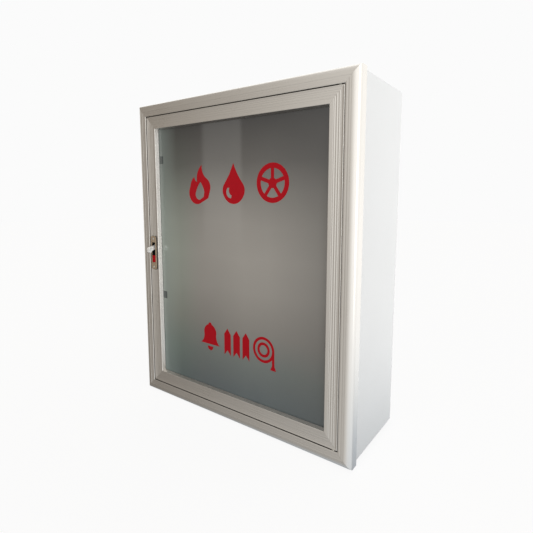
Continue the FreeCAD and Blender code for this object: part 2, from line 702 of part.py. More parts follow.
def build_lock_motion():
    def place(point):
        return FreeCAD.Vector(LOCK_X - LEVER_HALF, FACE_Y + point[0], LEVER_Z + point[1])

    # blade out of the bezel, hanging down and thicker at its tip; the tail runs back to the bolt
    blade = outline((LEVER_W, 4.5), [(-16.6, -0.6), ((-20.9, -4.2), (-20.6, -9.0)),
                                     ((-18.0, -15.4), (-13.4, -14.2)), ((-8.6, -10.6), (-2.0, -7.6)),
                                     (LEVER_W, -4.5)], place)
    lever = Part.Face(blade).extrude(ALONG_X * (2 * LEVER_HALF))
    flanks = [edge.BoundBox for edge in lever.Edges]
    long_sides = [edge for edge, reach in zip(lever.Edges, flanks)
                  if reach.XLength < 0.01 and reach.YMin < FACE_Y - 12 and reach.YMax > FACE_Y - 5]
    lever = lever.makeFillet(0.9, long_sides)
    hub = rod(4.5, LOCK_X - LEVER_HALF, FACE_Y + LEVER_W, LEVER_Z, 2 * LEVER_HALF, ALONG_X)
    tail = Part.Face(outline((LEVER_W, 2.0), [(28.0, -8.5), (28.0, -11.5), (LEVER_W, -3.0)], place))
    tail = tail.extrude(ALONG_X * 3.0)
    tail.translate(ALONG_X * 1.5)
    save("lock_lever", fuse([lever, hub, tail]).cut(lever_axis_rod(1.5 + RUNNING, 12)))
    save("lock_lever_pin", lever_axis_rod(1.5, HOUSING_HALF))

    coils = []
    for offset in (0.7, 1.7):
        centre = FreeCAD.Vector(LOCK_X + LEVER_HALF + offset, FACE_Y + LEVER_W, LEVER_Z)
        coils.append(Part.makeTorus(2.3, 0.45, centre, ALONG_X))
    save("lever_spring", group(coils))

    bolt = block(LOCK_X - 18.5, LOCK_X + 10.0, FACE_Y + BOLT_FRONT, FACE_Y + BOLT_BACK, BOLT_LOW, BOLT_HIGH)
    notch = block(LOCK_X - 7.0, LOCK_X + 6.0, FACE_Y + BOLT_FRONT - 1, FACE_Y + BOLT_BACK + 1,
                  BOLT_LOW - 1, BOLT_HIGH - 1.6)
    nose = [(-18.5, BOLT_FRONT + 1.5), (-18.5, BOLT_BACK), (-14.5, BOLT_BACK)]
    corners = [FreeCAD.Vector(LOCK_X + x, FACE_Y + w, BOLT_LOW - 1) for x, w in nose + nose[:1]]
    bevel = Part.Face(Part.makePolygon(corners)).extrude(ALONG_Z * (BOLT_HIGH - BOLT_LOW + 2))
    save("latch_bolt", cut_all(bolt, [notch, bevel]))


# ---------------------------------------------------------------- landing valve
TO_LEFT = FreeCAD.Vector(-1, 0, 0)
DOWN = FreeCAD.Vector(0, 0, -1)


def valve_rod(radius, z, length):
    return rod(radius, VALVE_X, VALVE_Y, z, length)


def valve_square(half, z_low, z_high):
    return block(VALVE_X - half, VALVE_X + half, VALVE_Y - half, VALVE_Y + half, z_low, z_high)


def bonnet_bolt_places():
    places = []
    for turn in (45, 135, 225, 315):
        angle = math.radians(turn)
        places.append((VALVE_X + BONNET_BOLT_CIRCLE * math.cos(angle),
                       VALVE_Y + BONNET_BOLT_CIRCLE * math.sin(angle)))
    return places


def build_valve_body(bolt_holes):
    def place(point):
        return FreeCAD.Vector(VALVE_X + point[0], VALVE_Y, point[1])

    thread_top = NECK_FOOT + INLET_THREAD_LONG
    flange_foot = BONNET_Z - BODY_FLANGE
    profile = outline((NECK_RADIUS, NECK_FOOT), [
        (NECK_RADIUS, GLOBE_Z - 45), ((GLOBE_RADIUS, GLOBE_Z), (SHOULDER_RADIUS, GLOBE_Z + 38)),
        (SHOULDER_RADIUS, flange_foot), (BONNET_RADIUS, flange_foot), (BONNET_RADIUS, BONNET_Z),
        (BONNET_MOUTH, BONNET_Z), (BONNET_MOUTH, BONNET_Z - 22), (CHAMBER_RADIUS, BONNET_Z - 26),
        (CHAMBER_RADIUS, SEAT_Z), (SEAT_RADIUS, SEAT_Z), (SEAT_RADIUS, SEAT_Z - 10),
        (INLET_BORE, SEAT_Z - 14), (INLET_BORE, thread_top), (INLET_THREAD_RADIUS, thread_top),
        (INLET_THREAD_RADIUS, NECK_FOOT)], place)
    shell = Part.Face(profile).revolve(FreeCAD.Vector(VALVE_X, VALVE_Y, 0), ALONG_Z, 360)
    branch = rod(BRANCH_RADIUS, VALVE_X - BRANCH_LONG, VALVE_Y, BRANCH_Z, BRANCH_LONG, TO_LEFT)
    outlet = rod(BRANCH_BORE, VALVE_X - 20, VALVE_Y, BRANCH_Z, 80, TO_LEFT)
    save("valve_body", cut_all(shell.fuse(branch), [outlet] + bolt_holes))


def build_bonnet(bolt_holes):
    flange = valve_rod(BONNET_RADIUS, BONNET_Z, BONNET_FLANGE)
    dome_foot = FreeCAD.Vector(VALVE_X, VALVE_Y, BONNET_Z + BONNET_FLANGE)
    dome = Part.makeCone(38.0, 22.0, BONNET_DOME, dome_foot)
    stack = valve_rod(BONNET_STACK_RADIUS, BONNET_Z + 30, BONNET_TALL - 30)
    bore = valve_rod(SPINDLE_RADIUS + RUNNING, BONNET_Z - 5, 90)
    save("valve_bonnet", cut_all(fuse([flange, dome, stack]), [bore] + bolt_holes))

    bolts = []
    for x, y in bonnet_bolt_places():
        shank = rod(BONNET_BOLT_RADIUS, x, y, BONNET_Z - BODY_FLANGE, BODY_FLANGE + BONNET_FLANGE)
        bolts.append(fuse([shank, hexagon(11.0, x, y, BONNET_Z + BONNET_FLANGE, 5)]))
    save("bonnet_bolts", group(bolts))

    gland_foot = BONNET_Z + BONNET_TALL
    gland = hexagon(34.0, VALVE_X, VALVE_Y, gland_foot, GLAND_TALL)
    save("gland_nut", gland.cut(valve_rod(SPINDLE_RADIUS + RUNNING, gland_foot - 1, GLAND_TALL + 6)))


def build_valve_motion():
    disc_foot = SEAT_Z + DISC_SEAL_THICK
    spindle_foot = disc_foot + 5
    disc = fuse([valve_rod(DISC_RADIUS, disc_foot, DISC_THICK),
                 valve_rod(DISC_BOSS_RADIUS, disc_foot + DISC_THICK, DISC_BOSS_TALL)])
    save("valve_disc", disc.cut(valve_rod(SPINDLE_RADIUS + RUNNING, spindle_foot, 20)))
    save("disc_seal", valve_rod(DISC_RADIUS - 2, SEAT_Z, DISC_SEAL_THICK))

    hub_top = WHEEL_Z + WHEEL_HUB_TALL
    spindle = valve_rod(SPINDLE_RADIUS, spindle_foot, WHEEL_Z - spindle_foot)
    square = valve_square(SPINDLE_SQUARE, WHEEL_Z, hub_top)
    save("valve_spindle", fuse([spindle, square, valve_rod(SPINDLE_STUD, hub_top, 10)]))

    centre = FreeCAD.Vector(VALVE_X, VALVE_Y, WHEEL_Z + WHEEL_HUB_TALL / 2)
    rim = Part.makeTorus(WHEEL_RADIUS, WHEEL_RIM_RADIUS, centre, ALONG_Z)
    hub = valve_rod(WHEEL_HUB_RADIUS, WHEEL_Z, WHEEL_HUB_TALL)
    spokes = []
    for number in range(WHEEL_SPOKES):
        spoke = rod(5.0, VALVE_X + 10, VALVE_Y, centre.z, WHEEL_RADIUS - 10, ALONG_X)
        spoke.rotate(centre, ALONG_Z, 360 / WHEEL_SPOKES * number)
        spokes.append(spoke)
    eye = valve_square(SPINDLE_SQUARE, WHEEL_Z - 1, hub_top + 1)
    save("valve_handwheel", fuse([rim, hub] + spokes).cut(eye))
    nut = hexagon(15.0, VALVE_X, VALVE_Y, hub_top, 7)
    save("handwheel_nut", nut.cut(valve_rod(SPINDLE_STUD, hub_top - 1, 10)))


def build_valve():
    bolt_holes = [rod(BONNET_BOLT_RADIUS, x, y, BONNET_Z - 14, 30) for x, y in bonnet_bolt_places()]
    build_valve_body(bolt_holes)
    build_bonnet(bolt_holes)
    build_valve_motion()
    start = VALVE_X - BRANCH_LONG * 2
    save("outlet_coupling", coupling(start, VALVE_Y, BRANCH_Z, 40.0, TO_LEFT, BRANCH_BORE))


def coupling(x, y, z, length, axis, bore):
    """Instantaneous hose coupling: stepped barrel with two claws on its front ring."""
    barrel = rod(COUPLING_RADIUS - 8, 0, 0, 0, length)
    ring = rod(COUPLING_RADIUS, 0, 0, length * 0.45, length * 0.35)
    ring = ring.makeFillet(2.0, ring.Edges[0:1] + ring.Edges[2:3])
    claws = []
    for side in (-1, 1):
        claw = block(COUPLING_RADIUS - 12, COUPLING_RADIUS - 2, -12, 12, length * 0.7, length + 4)
        claws.append(claw if side > 0 else claw.mirror(ORIGIN, ALONG_X))
    shape = fuse([barrel, ring] + claws).cut(rod(bore, 0, 0, -1, length + 10))
    shape.Placement = FreeCAD.Placement(FreeCAD.Vector(x, y, z), FreeCAD.Rotation(ALONG_Z, axis))
    return shape


# ---------------------------------------------------------------- hose and nozzle
def rivet(x, z):
    """Dome-headed fastener that stands on a foot plate at the back panel."""
    plate = -SHEET - PLATE_THICK
    head = rod(RIVET_HEAD_RADIUS, x, plate - RIVET_HEAD_TALL, z, RIVET_HEAD_TALL, ALONG_Y)
    rim = [edge for edge in head.Edges if edge.BoundBox.YMax < plate - RIVET_HEAD_TALL + 0.1]
    return fuse([head.makeFillet(1.2, rim), rod(RIVET_RADIUS, x, plate, z, PLATE_THICK, ALONG_Y)])


def rivet_hole(x, z):
    return rod(RIVET_RADIUS, x, -10, z, 20, ALONG_Y)


def build_hose():
    wide = HOSE_BACK - HOSE_FRONT
    mid_y = (HOSE_BACK + HOSE_FRONT) / 2
    coil = tube(COIL_RADIUS, COIL_CORE, COIL_X, HOSE_FRONT, COIL_Z, wide, ALONG_Y)
    reach = COIL_RADIUS + TAIL_GAP
    tails = []
    for side in (-1, 1):
        near = COIL_X + side * reach
        far = near + side * HOSE_FOLD
        tails.append(block(min(near, far), max(near, far), HOSE_FRONT, HOSE_BACK, TAIL_FOOT, COIL_Z))
    save("fire_hose", group([coil] + tails))
    centre = reach + HOSE_FOLD / 2
    for name, side in (("hose_coupling_left", -1), ("hose_coupling_right", 1)):
        x = COIL_X + side * centre
        save(name, coupling(x, mid_y, TAIL_FOOT - 0.1, COUPLING_LONG, DOWN, HOSE_COUPLING_BORE))


def build_saddle():
    """Arc of sheet under the coil, with a front stop and a foot on the back panel."""
    inner = COIL_RADIUS + 1.0
    outer = inner + SADDLE_SHEET
    front = HOSE_FRONT - 4.0
    arc = tube(outer, inner, COIL_X, front, COIL_Z, -SHEET - PLATE_THICK - front, ALONG_Y)
    stop = tube(outer, inner - SADDLE_STOP, COIL_X, front, COIL_Z, SADDLE_SHEET, ALONG_Y)
    drop = outer + 5.0
    spread = drop * math.tan(math.radians(SADDLE_HALF_ANGLE))
    corners = [(COIL_X, COIL_Z), (COIL_X - spread, COIL_Z - drop), (COIL_X + spread, COIL_Z - drop)]
    points = [FreeCAD.Vector(x, HOSE_FRONT - 20, z) for x, z in corners + corners[:1]]
    sector = Part.Face(Part.makePolygon(points)).extrude(ALONG_Y * 200)
    foot_top = COIL_Z - outer + 28
    foot = block(COIL_X - SADDLE_HALF_FOOT, COIL_X + SADDLE_HALF_FOOT, -SHEET - PLATE_THICK, -SHEET,
                 foot_top - 40, foot_top)
    saddle = fuse([arc.common(sector), stop.common(sector), foot])
    screw_xs = (COIL_X - 75, COIL_X, COIL_X + 75)
    screw_z = foot_top - 34
    save("hose_saddle", cut_all(saddle, [rivet_hole(x, screw_z) for x in screw_xs]))
    save("saddle_screws", group([rivet(x, screw_z) for x in screw_xs]))


def build_nozzle():
    foot = FreeCAD.Vector(NOZZLE_X, NOZZLE_Y, NOZZLE_CONE_FOOT)
    length = NOZZLE_CONE_TOP - NOZZLE_CONE_FOOT
    cone = Part.makeCone(NOZZLE_WIDE, NOZZLE_NARROW, length, foot)
    hollow = Part.makeCone(NOZZLE_WIDE - 3, NOZZLE_NARROW - 2.5, length, foot)
    save("nozzle_body", cone.cut(hollow))
    tip = tube(TIP_RADIUS, TIP_BORE, NOZZLE_X, NOZZLE_Y, NOZZLE_CONE_TOP, TIP_LONG)
    mouth = [edge for edge in tip.Edges
             if edge.Length > 90 and edge.BoundBox.ZMin > NOZZLE_CONE_TOP + TIP_LONG - 4]
    save("nozzle_tip", tip.makeFillet(2.0, mouth))
    base_long = NOZZLE_CONE_FOOT - NOZZLE_FOOT
    save("nozzle_coupling", coupling(NOZZLE_X, NOZZLE_Y, NOZZLE_CONE_FOOT, base_long, DOWN, NOZZLE_BORE))


def nozzle_clip(z):
    """Spring ring around the cone on a stalk from the back panel, open towards the door."""
    half_band = CLIP_BAND / 2
    slope = (NOZZLE_WIDE - NOZZLE_NARROW) / (NOZZLE_CONE_TOP - NOZZLE_CONE_FOOT)
    inner = NOZZLE_WIDE - slope * (z - half_band - NOZZLE_CONE_FOOT) + 0.1
    ring = tube(inner + CLIP_SHEET, inner, NOZZLE_X, NOZZLE_Y, z - half_band, CLIP_BAND)
    mouth = block(NOZZLE_X - inner * 0.6, NOZZLE_X + inner * 0.6, NOZZLE_Y - 60, NOZZLE_Y,
                  z - half_band - 1, z + half_band + 1)
    stalk = block(NOZZLE_X - 4, NOZZLE_X + 4, NOZZLE_Y + inner + 0.5, -SHEET, z - half_band, z + half_band)
    plate_half = CLIP_SCREW_SET + 7
    plate = block(NOZZLE_X - 8, NOZZLE_X + 8, -SHEET - PLATE_THICK, -SHEET, z - plate_half, z + plate_half)
    holes = [rivet_hole(NOZZLE_X, z + side * CLIP_SCREW_SET) for side in (-1, 1)]
    return cut_all(fuse([ring.cut(mouth), stalk, plate]), holes)


def build_nozzle_clips():
    save("nozzle_clips", group([nozzle_clip(z) for z in NOZZLE_CLIP_HEIGHTS]))
    heights = [z + side * CLIP_SCREW_SET for z in NOZZLE_CLIP_HEIGHTS for side in (-1, 1)]
    save("nozzle_clip_screws", group([rivet(NOZZLE_X, z) for z in heights]))


os.makedirs("parts", exist_ok=True)
build_box()
build_frame()
build_leaf()
build_pane()
build_signs()
build_lock_case()
build_lock_motion()
build_valve()
build_hose()
build_saddle()
build_nozzle()
build_nozzle_clips()
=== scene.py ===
"""Standpipe cabinet: finishes, hose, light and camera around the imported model.

Metres. X runs to the right as seen from the front, Y into the wall, Z up; the wall is at y = 0.
"""

import json
import math

import bpy
from mathutils import Matrix, Vector


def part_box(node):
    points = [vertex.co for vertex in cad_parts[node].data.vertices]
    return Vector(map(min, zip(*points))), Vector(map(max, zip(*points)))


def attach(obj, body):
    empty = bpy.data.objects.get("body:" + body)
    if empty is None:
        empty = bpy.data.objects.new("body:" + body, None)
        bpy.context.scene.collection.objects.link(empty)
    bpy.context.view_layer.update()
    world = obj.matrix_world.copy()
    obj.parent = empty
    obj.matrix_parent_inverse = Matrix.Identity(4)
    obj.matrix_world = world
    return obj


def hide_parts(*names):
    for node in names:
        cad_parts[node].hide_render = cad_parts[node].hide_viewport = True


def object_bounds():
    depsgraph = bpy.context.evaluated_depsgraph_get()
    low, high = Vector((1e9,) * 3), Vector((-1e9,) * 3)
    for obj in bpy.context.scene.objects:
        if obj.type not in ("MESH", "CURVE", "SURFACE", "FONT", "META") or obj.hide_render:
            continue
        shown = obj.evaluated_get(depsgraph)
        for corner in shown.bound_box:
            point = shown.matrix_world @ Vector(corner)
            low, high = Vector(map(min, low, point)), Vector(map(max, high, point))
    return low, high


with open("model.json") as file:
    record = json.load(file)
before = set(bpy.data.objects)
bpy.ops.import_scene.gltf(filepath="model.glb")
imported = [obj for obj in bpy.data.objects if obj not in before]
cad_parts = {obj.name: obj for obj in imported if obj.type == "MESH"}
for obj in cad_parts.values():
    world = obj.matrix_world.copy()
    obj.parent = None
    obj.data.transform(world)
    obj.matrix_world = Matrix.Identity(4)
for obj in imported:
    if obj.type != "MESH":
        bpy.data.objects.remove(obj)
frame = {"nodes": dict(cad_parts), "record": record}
cad_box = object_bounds()
nodes = frame["nodes"]
MM = 0.001


# ---------------------------------------------------------------- material helpers
def srgb(red, green, blue):
    """Linear colour from 0-255 display values."""
    channels = []
    for value in (red, green, blue):
        share = value / 255.0
        channels.append(share / 12.92 if share <= 0.04045 else ((share + 0.055) / 1.055) ** 2.4)
    return tuple(channels) + (1.0,)


def shader(name, colour, roughness, **inputs):
    """New material with one Principled shader; inputs are its other sockets by name."""
    material = bpy.data.materials.new(name)
    material.use_nodes = True
    tree = material.node_tree
    surface = tree.nodes["Principled BSDF"]
    surface.inputs["Base Color"].default_value = colour
    surface.inputs["Roughness"].default_value = roughness
    for socket, value in inputs.items():
        surface.inputs[socket.replace("_", " ")].default_value = value
    return material, tree, surface


def space(tree, scale=(1, 1, 1)):
    """Object-space coordinates, in metres times scale."""
    coordinates = tree.nodes.new("ShaderNodeTexCoord")
    mapping = tree.nodes.new("ShaderNodeMapping")
    mapping.inputs["Scale"].default_value = scale
    tree.links.new(coordinates.outputs["Object"], mapping.inputs["Vector"])
    return mapping.outputs["Vector"]


def noise(tree, vector, scale, detail=3.0, roughness=0.5):
    """Noise, 0-1, along a vector."""
    texture = tree.nodes.new("ShaderNodeTexNoise")
    texture.inputs["Scale"].default_value = scale
    texture.inputs["Detail"].default_value = detail
    texture.inputs["Roughness"].default_value = roughness
    tree.links.new(vector, texture.inputs["Vector"])
    return texture.outputs["Fac"]


def ramp(tree, value, *stops):
    """Colour ramp; each stop is (position, colour)."""
    node = tree.nodes.new("ShaderNodeValToRGB")
    elements = node.color_ramp.elements
    while len(elements) < len(stops):
        elements.new(0.5)
    for element, (position, colour) in zip(elements, stops):
        element.position = position
        element.color = colour
    tree.links.new(value, node.inputs["Fac"])
    return node.outputs["Color"]


def span(tree, value, low, high):
    """Maps 0-1 to low-high."""
    node = tree.nodes.new("ShaderNodeMapRange")
    node.inputs["To Min"].default_value = low
    node.inputs["To Max"].default_value = high
    tree.links.new(value, node.inputs["Value"])
    return node.outputs["Result"]


def progress(tree, value, start, end, curve="LINEAR"):
    """Maps start-end to 0-1, held at 0 before start and at 1 past end."""
    node = tree.nodes.new("ShaderNodeMapRange")
    node.interpolation_type = curve
    node.inputs["From Min"].default_value = start
    node.inputs["From Max"].default_value = end
    tree.links.new(value, node.inputs["Value"])
    return node.outputs["Result"]


def split(tree, vector):
    """The X, Y and Z outputs of a vector."""
    node = tree.nodes.new("ShaderNodeSeparateXYZ")
    tree.links.new(vector, node.inputs["Vector"])
    return node.outputs


def scaled(colour, share):
    """The colour times share."""
    return tuple(share * channel for channel in colour[:3]) + (1.0,)


def combine(tree, operation, first, second=0.0):
    """One Math node on two outputs or numbers."""
    node = tree.nodes.new("ShaderNodeMath")
    node.operation = operation
    for socket, value in zip(node.inputs, (first, second)):
        if isinstance(value, (int, float)):
            socket.default_value = value
        else:
            tree.links.new(value, socket)
    return node.outputs["Value"]


def mix(tree, share, first, second, blend="MIX"):
    """Mixes two colours."""
    node = tree.nodes.new("ShaderNodeMix")
    node.data_type = "RGBA"
    node.blend_type = blend
    for socket, value in ((node.inputs[0], share), (node.inputs[6], first), (node.inputs[7], second)):
        if isinstance(value, (int, float, tuple)):
            socket.default_value = value
        else:
            tree.links.new(value, socket)
    return node.outputs[2]


def bump(tree, surface, height, depth, strength):
    """Surface relief of the given depth in metres."""
    node = tree.nodes.new("ShaderNodeBump")
    node.inputs["Distance"].default_value = depth
    node.inputs["Strength"].default_value = strength
    tree.links.new(height, node.inputs["Height"])
    tree.links.new(node.outputs["Normal"], surface.inputs["Normal"])


def feed(tree, output, surface, socket):
    """Drives a named socket of the surface."""
    tree.links.new(output, surface.inputs[socket])


def edge_wear(tree, radius):
    """0 on flats, up to 1 on convex edges."""
    geometry = tree.nodes.new("ShaderNodeNewGeometry")
    bevel = tree.nodes.new("ShaderNodeBevel")
    bevel.samples = 4
    bevel.inputs["Radius"].default_value = radius
    product = tree.nodes.new("ShaderNodeVectorMath")
    product.operation = "DOT_PRODUCT"
    tree.links.new(geometry.outputs["Normal"], product.inputs[0])
    tree.links.new(bevel.outputs["Normal"], product.inputs[1])
    off = combine(tree, "SUBTRACT", 1.0, product.outputs["Value"])
    return combine(tree, "MINIMUM", combine(tree, "MULTIPLY", off, 8.0), 1.0)


# ---------------------------------------------------------------- materials
LOW_BAR_SHADE = 0.26                               # painted shade: how far the lower bars turn to a darker colour
GLASS_TINTS = {"warm": (1.06, 1.0, 0.91), "green": (0.92, 1.05, 0.99), "cool": (0.79, 1.05, 1.17),
               "plain": (1.0, 1.0, 1.0)}
WINDOW_Y = -2.5                            # plane of the window whose reflection is painted on the pane
WINDOW_X = (-2.45, -2.36, -1.93, -1.86)    # where it fades in and out, left to right
WINDOW_Z = (-0.62, 0.35, 1.10, 1.25)       # the same, from below
# how brightly the painted window reflection glows
PAINTED_WINDOW_GLOW = 0.040
PALE_EDGE = (0.075, 0.02)                  # from the pane's left side: where its painted pale light starts, and where it is full
PALE_SHARE = 0.5
PAD_SHADE = 0.95                           # how dark the painted shade of the clip pads is on the pane


def powder_coat(name, colour):
    """White coat with a fine peel."""
    material, tree, surface = shader(name, colour, 0.34, Coat_Weight=0.25, Coat_Roughness=0.22)
    place = space(tree)
    peel = noise(tree, place, 620.0, 2.0)
    broad = noise(tree, place, 9.0, 4.0)
    tone = mix(tree, span(tree, broad, 0.0, 0.10), colour, (0.70, 0.70, 0.68, 1.0))
    feed(tree, tone, surface, "Base Color")
    feed(tree, span(tree, broad, 0.30, 0.42), surface, "Roughness")
    bump(tree, surface, peel, 0.00012, 0.35)
    return material


def with_low_bar_shade(tree, tone):
    """The tone with painted shade: darker on bars in the cabinet's lower half."""
    low = combine(tree, "LESS_THAN", split(tree, space(tree))["Z"], 0.0)
    return mix(tree, combine(tree, "MULTIPLY", low, LOW_BAR_SHADE), tone, (0.28, 0.265, 0.25, 1.0))


def stretched(along, across_scale, along_scale):
    """Scale of a pattern drawn out along one axis."""
    return [along_scale if axis == along else across_scale for axis in range(3)]


def anodised(name, along):
    """Satin anodised extrusion with drawing lines along the bar; along is the bar's axis, 0 or 2."""
    material, tree, surface = shader(name, (0.56, 0.535, 0.50, 1.0), 0.36, Metallic=0.92)
    lines = noise(tree, space(tree, stretched(along, 2600.0, 6.0)), 1.0, 2.0)
    bands = noise(tree, space(tree, stretched(along, 160.0, 1.5)), 1.0, 3.0)
    smudge = noise(tree, space(tree), 14.0, 4.0)
    tone = mix(tree, span(tree, bands, 0.0, 0.5), (0.60, 0.575, 0.535, 1.0), (0.50, 0.475, 0.44, 1.0))
    tone = mix(tree, span(tree, smudge, 0.0, 0.22), tone, (0.66, 0.65, 0.63, 1.0))
    # the level bars get painted shade in the cabinet's lower half
    if along == 0:
        tone = with_low_bar_shade(tree, tone)
    feed(tree, tone, surface, "Base Color")
    feed(tree, span(tree, combine(tree, "ADD", lines, smudge), 0.14, 0.30), surface, "Roughness")
    bump(tree, surface, lines, 0.00003, 0.22)
    return material


def painted_window_glint(tree, place):
    """Share 0-1 of the pane that glows with a painted reflection of a tall bright window, ahead and to
    the left.
    """
    mirrored = split(tree, tree.nodes.new("ShaderNodeTexCoord").outputs["Reflection"])
    distance = combine(tree, "DIVIDE", combine(tree, "SUBTRACT", WINDOW_Y, place["Y"]), mirrored["Y"])

    def inside(axis, fades):
        reach = combine(tree, "ADD", place[axis], combine(tree, "MULTIPLY", distance, mirrored[axis]))
        start, full, ebb, end = fades
        return combine(tree, "MULTIPLY", progress(tree, reach, start, full, "SMOOTHSTEP"),
                       progress(tree, reach, end, ebb, "SMOOTHSTEP"))

    ahead = combine(tree, "LESS_THAN", mirrored["Y"], -0.05)
    shape = combine(tree, "MULTIPLY", inside("X", WINDOW_X), inside("Z", WINDOW_Z))
    return combine(tree, "MULTIPLY", shape, ahead)


def grey(value, tint="plain"):
    """Grey of a brightness, tinted."""
    return scaled(GLASS_TINTS[tint], value)


def pane_tone_with_painted_light(tree, place):
    """Colour of the milky back of the pane, with painted light and shade by height and by distance from
    its left edge.
    """
    low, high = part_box("glass_pane")
    cloud = noise(tree, space(tree), 4.0, 4.0)

    def share(axis, start, end, wander=0.04):
        return combine(tree, "ADD", progress(tree, place[axis], start, end),
                       span(tree, cloud, -wander, wander))

    # painted light and shade by height: darkest at the top, dark at the bottom, brightest in the middle
    upward = ramp(tree, share("Z", low.z, high.z), (0.0, grey(0.15, "cool")), (0.14, grey(0.27, "green")),
                  (0.26, grey(0.385, "warm")), (0.40, grey(0.51, "warm")), (0.52, grey(0.545, "warm")),
                  (0.64, grey(0.48, "warm")), (0.75, grey(0.34, "warm")), (0.85, grey(0.15, "warm")),
                  (1.0, grey(0.018)))
    # painted light across: brightest at the left and in the middle, darkest at the right
    across = ramp(tree, share("X", low.x, high.x, 0.02), (0.03, grey(1.05, "green")),
                  (0.16, grey(0.84, "green")), (0.30, grey(0.87)), (0.43, grey(0.93)), (0.57, grey(1.0)),
                  (0.70, grey(0.96)), (0.84, grey(0.79)), (0.97, grey(0.62)))
    tone = mix(tree, 1.0, upward, across, "MULTIPLY")
    # painted pale light along the left edge
    edge = combine(tree, "MULTIPLY", share("X", low.x + PALE_EDGE[0], low.x + PALE_EDGE[1]), PALE_SHARE)
    edge = combine(tree, "MINIMUM", combine(tree, "MAXIMUM", edge, 0.0), PALE_SHARE)
    return mix(tree, edge, tone, (0.34, 0.42, 0.39, 1))


def frosted_glass():
    """Milky toughened pane: glossy outside, cloudy inside, with painted shade that makes it darkest at
    its top and bottom, and a painted window reflection.
    """
    material, tree, surface = shader("frosted_glass", (0.2, 0.2, 0.2, 1), 0.45, Coat_Weight=1.0,
                                     Coat_Roughness=0.03, Coat_IOR=1.5, Transmission_Weight=0.30, IOR=1.5)
    place = split(tree, space(tree))
    tone = mix(tree, painted_clip_shade(tree, place), pane_tone_with_painted_light(tree, place), (0.03, 0.05, 0.05, 1))
    feed(tree, tone, surface, "Base Color")
    # painted reflection: the pane glows faintly where it would mirror a window
    surface.inputs["Emission Color"].default_value = (1.0, 0.98, 0.93, 1)
    glow = combine(tree, "MULTIPLY", painted_window_glint(tree, place), PAINTED_WINDOW_GLOW)
    feed(tree, glow, surface, "Emission Strength")
    bump(tree, surface, noise(tree, space(tree), 900.0, 2.0), 0.00004, 0.3)
    return material


def painted_clip_shade(tree, place):
    """Share 0-1 of the pane painted darker where the lock-side clip pads press on its back: painted shade
    of the pads seen through it.
    """
    corners = [vertex.co for vertex in nodes["glass_clip_pads"].data.vertices if vertex.co.x < 0]

    def within(axis, values):
        return combine(tree, "MULTIPLY", combine(tree, "GREATER_THAN", place[axis], min(values)),
                       combine(tree, "LESS_THAN", place[axis], max(values)))

    upper = within("Z", [corner.z for corner in corners if corner.z > 0])
    lower = within("Z", [corner.z for corner in corners if corner.z < 0])
    sideways = within("X", [corner.x for corner in corners])
    pads = combine(tree, "MULTIPLY", combine(tree, "ADD", upper, lower), sideways)
    return combine(tree, "MULTIPLY", pads, PAD_SHADE)


def rubber(name):
    """Black rubber with a fine grain."""
    material, tree, surface = shader(name, (0.022, 0.022, 0.022, 1), 0.62)
    grain = noise(tree, space(tree), 1400.0, 3.0)
    feed(tree, span(tree, grain, 0.5, 0.75), surface, "Roughness")
    bump(tree, surface, grain, 0.0001, 0.4)
    return material


def vinyl(name, colour):
    """Matt self-adhesive film, slightly rippled."""
    material, tree, surface = shader(name, colour, 0.55, Specular_IOR_Level=0.2)
    ripple = noise(tree, space(tree), 120.0, 2.0)
    shade = mix(tree, span(tree, ripple, 0.0, 0.35), colour, scaled(colour, 0.72))
    feed(tree, shade, surface, "Base Color")
    bump(tree, surface, ripple, 0.0001, 0.3)
    return material


def moulded(name, colour, roughness, **inputs):
    """Plain moulding with a fine grain."""
    material, tree, surface = shader(name, colour, roughness, **inputs)
    grain = noise(tree, space(tree), 1800.0, 3.0)
    feed(tree, span(tree, grain, roughness - 0.06, roughness + 0.08), surface, "Roughness")
    bump(tree, surface, grain, 0.00006, 0.4)
    return material


def plated(name, colour, roughness, metal=1.0):
    """Bright metal with faint swirls."""
    material, tree, surface = shader(name, colour, roughness, Metallic=metal)
    swirl = noise(tree, space(tree), 260.0, 4.0, 0.6)
    tone = mix(tree, span(tree, swirl, 0.0, 0.4), colour, scaled(colour, 0.78))
    feed(tree, tone, surface, "Base Color")
    feed(tree, span(tree, swirl, roughness - 0.05, roughness + 0.16), surface, "Roughness")
    bump(tree, surface, swirl, 0.00003, 0.5)
    return material


def enamel(name, colour):
    """Painted casting: coarse sand texture under gloss paint, worn on edges."""
    material, tree, surface = shader(name, colour, 0.38, Coat_Weight=0.3, Coat_Roughness=0.2)
    sand = noise(tree, space(tree), 420.0, 4.0, 0.6)
    broad = noise(tree, space(tree), 40.0, 3.0)
    tone = mix(tree, span(tree, broad, 0.0, 0.5), colour, scaled(colour, 0.62))
    worn = combine(tree, "MULTIPLY", edge_wear(tree, 0.0012), span(tree, sand, 0.0, 1.3))
    feed(tree, mix(tree, worn, tone, (0.30, 0.28, 0.26, 1.0)), surface, "Base Color")
    feed(tree, span(tree, sand, 0.30, 0.55), surface, "Roughness")
    bump(tree, surface, sand, 0.0004, 0.4)
    return material


def woven(name, colour, yarns):
    """Plain weave; yarns is their angular frequency, in radians a metre."""
    material, tree, surface = shader(name, colour, 0.85, Sheen_Weight=0.3, Sheen_Roughness=0.5)
    place = split(tree, tree.nodes.new("ShaderNodeTexCoord").outputs["UV"])
    warp = combine(tree, "SINE", combine(tree, "MULTIPLY", place["X"], yarns))
    weft = combine(tree, "SINE", combine(tree, "MULTIPLY", place["Y"], yarns))
    weave = combine(tree, "MULTIPLY", warp, weft)
    soil = noise(tree, space(tree), 30.0, 4.0)
    shade = mix(tree, span(tree, weave, 0.0, 0.35), colour, scaled(colour, 0.6))
    shade = mix(tree, span(tree, soil, 0.0, 0.35), shade, (0.42, 0.39, 0.33, 1.0))
    feed(tree, shade, surface, "Base Color")
    bump(tree, surface, weave, 0.0004, 0.6)
    return material


